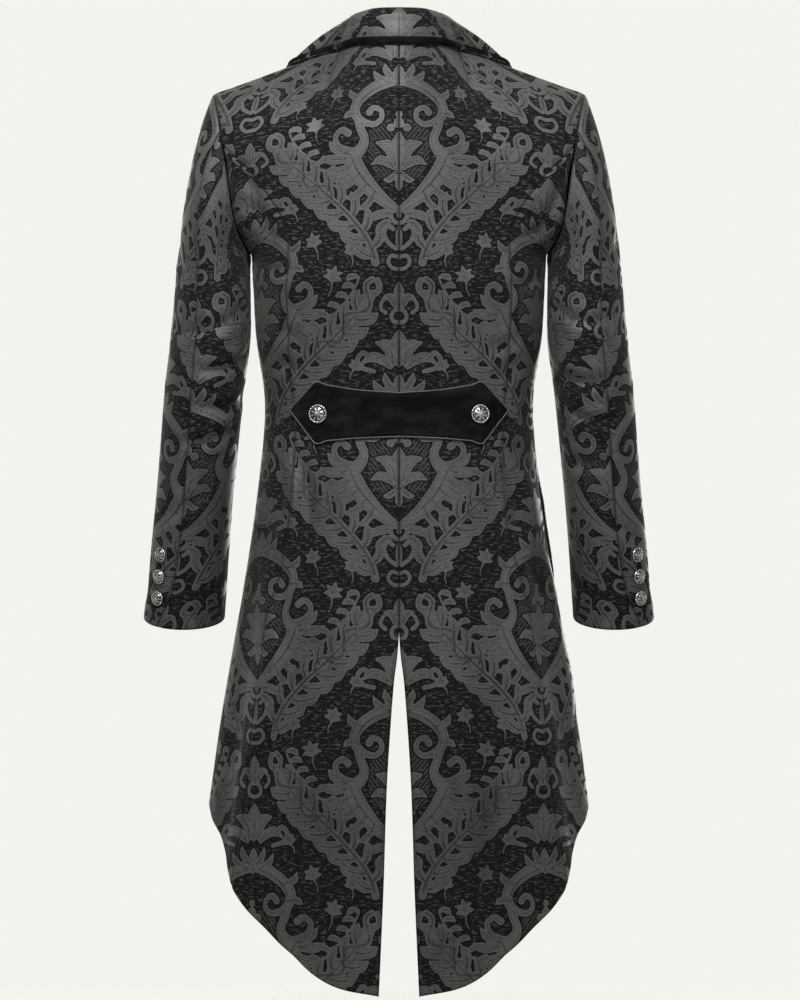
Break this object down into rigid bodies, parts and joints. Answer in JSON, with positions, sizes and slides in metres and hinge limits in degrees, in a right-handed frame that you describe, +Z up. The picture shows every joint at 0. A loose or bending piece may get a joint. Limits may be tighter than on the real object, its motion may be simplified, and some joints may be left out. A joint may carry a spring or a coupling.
{
  "type": "tailcoat",
  "caption": "Tailcoat in woven damask, filled out as if worn: fitted back, long vented tails, cut-away front, turned-down collar, velvet half belt, domed metal buttons.",
  "frame": {"origin": "between the shoulders, level with the neck seam, where the wearer's shoulders carry the coat", "axes": "+Z up, the tails hang toward -Z, the front faces -Y and the back +Y, +X is the wearer's left"},
  "size_m": [0.618, 0.2755, 1.1838],
  "materials": {
    "damask": "woven jacquard, satin grey figure on a black ribbed ground",
    "velvet": "black velvet",
    "buttons": "antique silver, darkened in the hollows"
  },
  "bodies": {
    "root": {"back_left": "damask", "back_right": "damask", "side_left": "damask", "side_right": "damask", "front_left": "damask", "front_right": "damask", "lapel_left": "damask", "lapel_right": "damask", "top_sleeve_left": "damask", "top_sleeve_right": "damask", "under_sleeve_left": "damask", "under_sleeve_right": "damask", "collar": "damask", "collar_band": "velvet", "half_belt": "velvet", "belt_button_left": "buttons", "cuff_button_left_1": "buttons", "cuff_button_left_2": "buttons", "cuff_button_left_3": "buttons", "belt_button_right": "buttons", "cuff_button_right_1": "buttons", "cuff_button_right_2": "buttons", "cuff_button_right_3": "buttons", "front_button_1": "buttons", "front_button_2": "buttons", "front_button_3": "buttons"}
  },
  "joints": []
}
